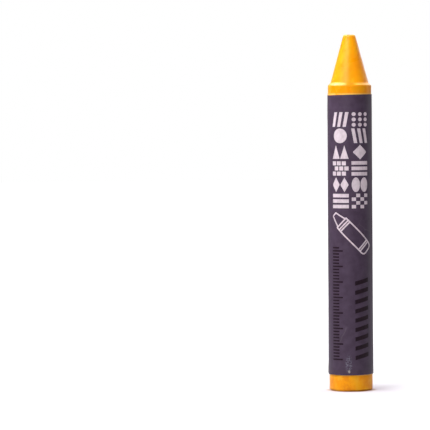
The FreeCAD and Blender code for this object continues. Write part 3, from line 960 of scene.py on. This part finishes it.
def make_icon(tree, material):
    """A plain outline of a crayon, drawn on the slant between its tip and its butt."""
    start = Vector((ICON_TIP[0], ICON_TIP[1], 0))
    reach = Vector((ICON_BUTT[0], ICON_BUTT[1], 0)) - start
    length = reach.length
    ahead = reach / length
    aside = Vector((-ahead.y, ahead.x, 0))

    def line(*corners):
        return [(start + ahead * a * length + aside * b * ICON_HALF, 1.0) for a, b in corners]

    def band(a):
        return line((a, -1.0), (a, 1.0))

    outline = line(
        (0.93, 1.0), (0.23, 1.0), (0.215, 0.80), (0.0, 0.36), (0.0, -0.36), (0.215, -0.80), (0.23, -1.0),
        (0.93, -1.0), (0.965, -0.93), (0.99, -0.75), (1.0, -0.45), (1.0, 0.45), (0.99, 0.75), (0.965, 0.93),
        (0.93, 1.0),
    )
    lines = [outline, band(0.23), band(0.29), band(0.335), band(0.84), band(0.885)]
    return grow("crayon_drawing", line_source(lines), tree, material)


def tile(side, row, **shape):
    """The place of a tile of the printed columns, with the inputs of the marks in it."""
    up = TILES_TOP - TILE_HEIGHT / 2 - row * TILE_PITCH
    inputs = {"Place": (side, up, 0.0)}
    for name, value in shape.items():
        inputs[name.capitalize().replace("_", " ")] = value
    return inputs


def light_tiles():
    """The two columns of light patterns: bars, discs, triangles, bricks, diamonds, planks, dots, lenses."""
    left, right = TILE_SIDES
    wide, high = TILE_WIDTH, TILE_HEIGHT
    return [
        tile(left, 0, width=1.1 * MM, height=high, slant=0.45 * MM, columns=3, column_pitch=1.95 * MM),
        tile(left, 1, width=4.7 * MM, height=high, round=1.0),
        tile(left, 2, width=2.8 * MM, height=4.3 * MM, taper=1.0, columns=2, column_pitch=3.0 * MM),
        tile(left, 3, width=1.4 * MM, height=1.3 * MM, columns=3, rows=3, column_pitch=1.75 * MM,
             row_pitch=1.65 * MM, brick=0.5),
        tile(left, 4, width=2.8 * MM, height=high, pinch=1.0, columns=2, column_pitch=3.0 * MM),
        tile(left, 5, width=wide, height=1.15 * MM, rows=3, row_pitch=1.75 * MM),
        tile(right, 0, width=1.35 * MM, height=1.25 * MM, round=1.0, columns=3, rows=3,
             column_pitch=2.1 * MM, row_pitch=1.7 * MM),
        tile(right, 1, width=1.1 * MM, height=high, slant=-0.45 * MM, columns=3, column_pitch=1.95 * MM),
        tile(right, 2, width=5.0 * MM, height=high, pinch=1.0),
        tile(right, 3, width=wide, height=1.15 * MM, rows=3, row_pitch=1.75 * MM),
        tile(right, 4, width=2.75 * MM, height=high, round=1.0, columns=2, column_pitch=2.95 * MM),
        tile(right, 5, width=1.38 * MM, height=1.13 * MM, columns=2, rows=4, column_pitch=2.9 * MM,
             row_pitch=1.2 * MM, brick=0.5),
    ]


def dark_marks():
    """A column of slanted bars, and a ruler with each fifth tick longer."""
    low, high = DARK_UP
    bars = {
        "Place": (BARS_ALONG, low + BARS_UP, 0.0),
        "Width": 4.9 * MM,
        "Height": 1.35 * MM,
        "Rise": 0.6 * MM,
        "Rows": 9,
        "Row pitch": BARS_PITCH,
    }
    marks = [bars]
    pitch = TICKS_TO_LONG * MM
    for offset in range(TICKS_TO_LONG):
        width = RULER_LONG if offset == 0 else RULER_SHORT
        rows = int((high - low - offset * MM) / pitch) + 1
        middle = low + offset * MM + pitch / 2 * (rows - 1)
        marks.append(
            {
                "Place": (RULER_LEFT + width / 2, middle, 0.0),
                "Width": width,
                "Height": RULER_STROKE,
                "Rows": rows,
                "Row pitch": pitch,
            }
        )
    return marks


def make_floor_board(material):
    """A flat round board under the crayon."""
    mesh = bpy.data.meshes.new("studio_board")
    shape = bmesh.new()
    middle = shape.verts.new((0, 0, 0))
    turns = [2 * math.pi * step / BOARD_SIDES for step in range(BOARD_SIDES)]
    previous = None
    for radius in BOARD_RINGS:
        ring = [shape.verts.new((radius * math.cos(turn), radius * math.sin(turn), 0)) for turn in turns]
        for step in range(BOARD_SIDES):
            after = (step + 1) % BOARD_SIDES
            if previous is None:
                shape.faces.new((middle, ring[step], ring[after]))
            else:
                shape.faces.new((previous[step], ring[step], ring[after], previous[after]))
        previous = ring
    shape.to_mesh(mesh)
    shape.free()
    mesh.materials.append(material)
    board = bpy.data.objects.new("studio_board", mesh)
    bpy.context.scene.collection.objects.link(board)
    return board


# ---------------------------------------------------------------- camera and lights
def aim(obj, target, roll=0.0):
    """Turns a camera or a lamp to look at a place."""
    look = (Vector(target) - obj.location).to_track_quat("-Z", "Y")
    obj.rotation_euler = (look.to_matrix() @ Matrix.Rotation(roll, 3, "Z")).to_euler()


def place_camera():
    camera = bpy.data.objects.new("camera", bpy.data.cameras.new("camera"))
    camera.data.lens = CAMERA_LENS
    camera.data.sensor_width = SENSOR_WIDTH
    camera.data.clip_end = SEE_TO
    camera.location = CAMERA_AT
    level = Vector(CAMERA_AT) + Vector((0, math.cos(CAMERA_PITCH), -math.sin(CAMERA_PITCH)))
    aim(camera, level, CAMERA_ROLL)
    bpy.context.scene.collection.objects.link(camera)
    bpy.context.scene.camera = camera


def hang_lamp(name, azimuth, elevation, distance, size, power, tall=None):
    """A soft rectangular lamp that looks at the middle of the crayon. Azimuth 0 is in front, plus is to
    the right."""
    data = bpy.data.lights.new(name, "AREA")
    data.shape = "RECTANGLE"
    data.size = size
    data.size_y = tall or size
    data.energy = power
    lamp = bpy.data.objects.new(name, data)
    turn, rise = math.radians(azimuth), math.radians(elevation)
    middle = Vector((0, 0, STICK_LENGTH / 2))
    out = Vector((math.sin(turn) * math.cos(rise), -math.cos(turn) * math.cos(rise), math.sin(rise)))
    lamp.location = middle + out * distance
    bpy.context.scene.collection.objects.link(lamp)
    aim(lamp, middle)


def light_the_air():
    """Soft light from all round, stronger from behind, seen as plain white."""
    world = bpy.data.worlds.new("studio")
    bpy.context.scene.world = world
    world.use_nodes = True
    world.node_tree.nodes.clear()
    t = Tree(world.node_tree)
    _, y, z = t.split(t.add("ShaderNodeTexCoord").outputs["Generated"])
    strength = t.plus(t.times(y, AIR_BACK), t.times(z, AIR_UP))
    strength = t.plus(strength, AIR_LIGHT)
    glow = t.add("ShaderNodeBackground", {"Color": (1, 1, 1, 1), "Strength": strength})
    plain = t.add("ShaderNodeBackground", {"Color": (1, 1, 1, 1), "Strength": 1.0})
    straight = t.add("ShaderNodeLightPath").outputs["Is Camera Ray"]
    both = t.add("ShaderNodeMixShader", {0: straight, 1: glow.outputs[0], 2: plain.outputs[0]})
    t.feed(t.add("ShaderNodeOutputWorld").inputs[0], both.outputs[0])


# ---------------------------------------------------------------- the scene
place_camera()
light_the_air()
for lamp in LAMPS:
    hang_lamp(**lamp)
bpy.context.scene.view_settings.view_transform = "Standard"

slab = make_slab_group()
roll = make_roll_group()
mark = make_mark_group()
strip = make_strip_group()
grain = make_paper_grain_group()
handling = make_handling_group()

yellow_wax = make_wax(handling)
wrapper_paper = make_wrapper_paper(grain, handling)
white_ink = make_ink("white ink", WHITE_THIN, WHITE_FULL, 0.60, grain, handling)
dark_ink = make_ink("dark ink", DARK_THIN, DARK_FULL, 0.40, grain, handling)
dried_paste = make_paste()

make_floor_board(make_floor())

wax_body = make_wax_stick(make_wax_tree(strip), yellow_wax)
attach(wax_body, BODY)
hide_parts("wax_stick")

wrapper_tree = make_wrapper_tree(slab, roll)
wrapper = grow("wrapper_sheet", blank_source(), wrapper_tree, wrapper_paper)
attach(wrapper, BODY)
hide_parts("paper_wrapper")

light_tree = make_print_tree("Light print", light_tiles(), mark, slab, roll)
light_print = grow("print_light", blank_source(), light_tree, white_ink)
dark_tree = make_print_tree("Dark print", dark_marks(), mark, slab, roll)
dark_print = grow("print_dark", blank_source(), dark_tree, dark_ink)
drawing = make_icon(make_drawing_tree(slab, roll), white_ink)
for piece, slot in ((light_print, "white_ink"), (drawing, "white_ink"), (dark_print, "dark_ink")):
    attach(piece, BODY)

paste = frame["nodes"]["wrapper_paste"]
paste.data.materials.clear()
paste.data.materials.append(dried_paste)

for piece in (wax_body, wrapper, light_print, dark_print, drawing):
    print(piece.name, "has", sum(len(face.vertices) - 2 for face in piece.data.polygons), "triangles")
